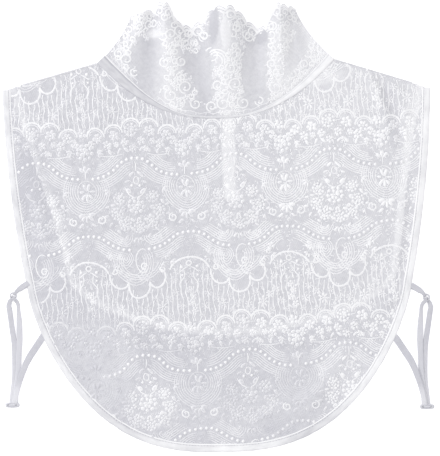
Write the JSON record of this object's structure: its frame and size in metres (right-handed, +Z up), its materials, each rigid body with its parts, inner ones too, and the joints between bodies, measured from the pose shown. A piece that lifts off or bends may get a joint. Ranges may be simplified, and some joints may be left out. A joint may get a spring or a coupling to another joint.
{
  "type": "detachable lace collar",
  "caption": "White lace false collar with front and back bibs, a fluted scalloped standing collar and adjustable side straps, lying flat.",
  "frame": {"origin": "centre of the garment's outline, on the surface that it lies on", "axes": "+Y from the hem to the top of the collar, +Z up from the surface, +X to the right seen from above"},
  "size_m": [0.3871, 0.4043, 0.0186],
  "materials": {
    "lace": "embroidered net",
    "satin": "satin bias strip",
    "elastic": "woven elastic",
    "fittings": "moulded"
  },
  "bodies": {
    "root": {"front_bib": "lace", "back_bib": "lace", "front_binding": "satin", "back_binding": "satin", "shoulder_seam_left": "satin", "shoulder_seam_right": "satin", "placket": "satin", "neck_band": "satin", "collar_front": "lace", "collar_back_left": "lace", "collar_back_right": "lace", "collar_placket": "satin", "strap_tab_left": "elastic", "strap_tab_right": "elastic", "strap_outer_left": "elastic", "strap_outer_right": "elastic", "strap_inner_left": "elastic", "strap_inner_right": "elastic", "strap_lower_left": "elastic", "strap_lower_right": "elastic", "strap_ring_left": "fittings", "strap_ring_right": "fittings", "strap_slider_left": "fittings", "strap_slider_right": "fittings"}
  },
  "joints": []
}
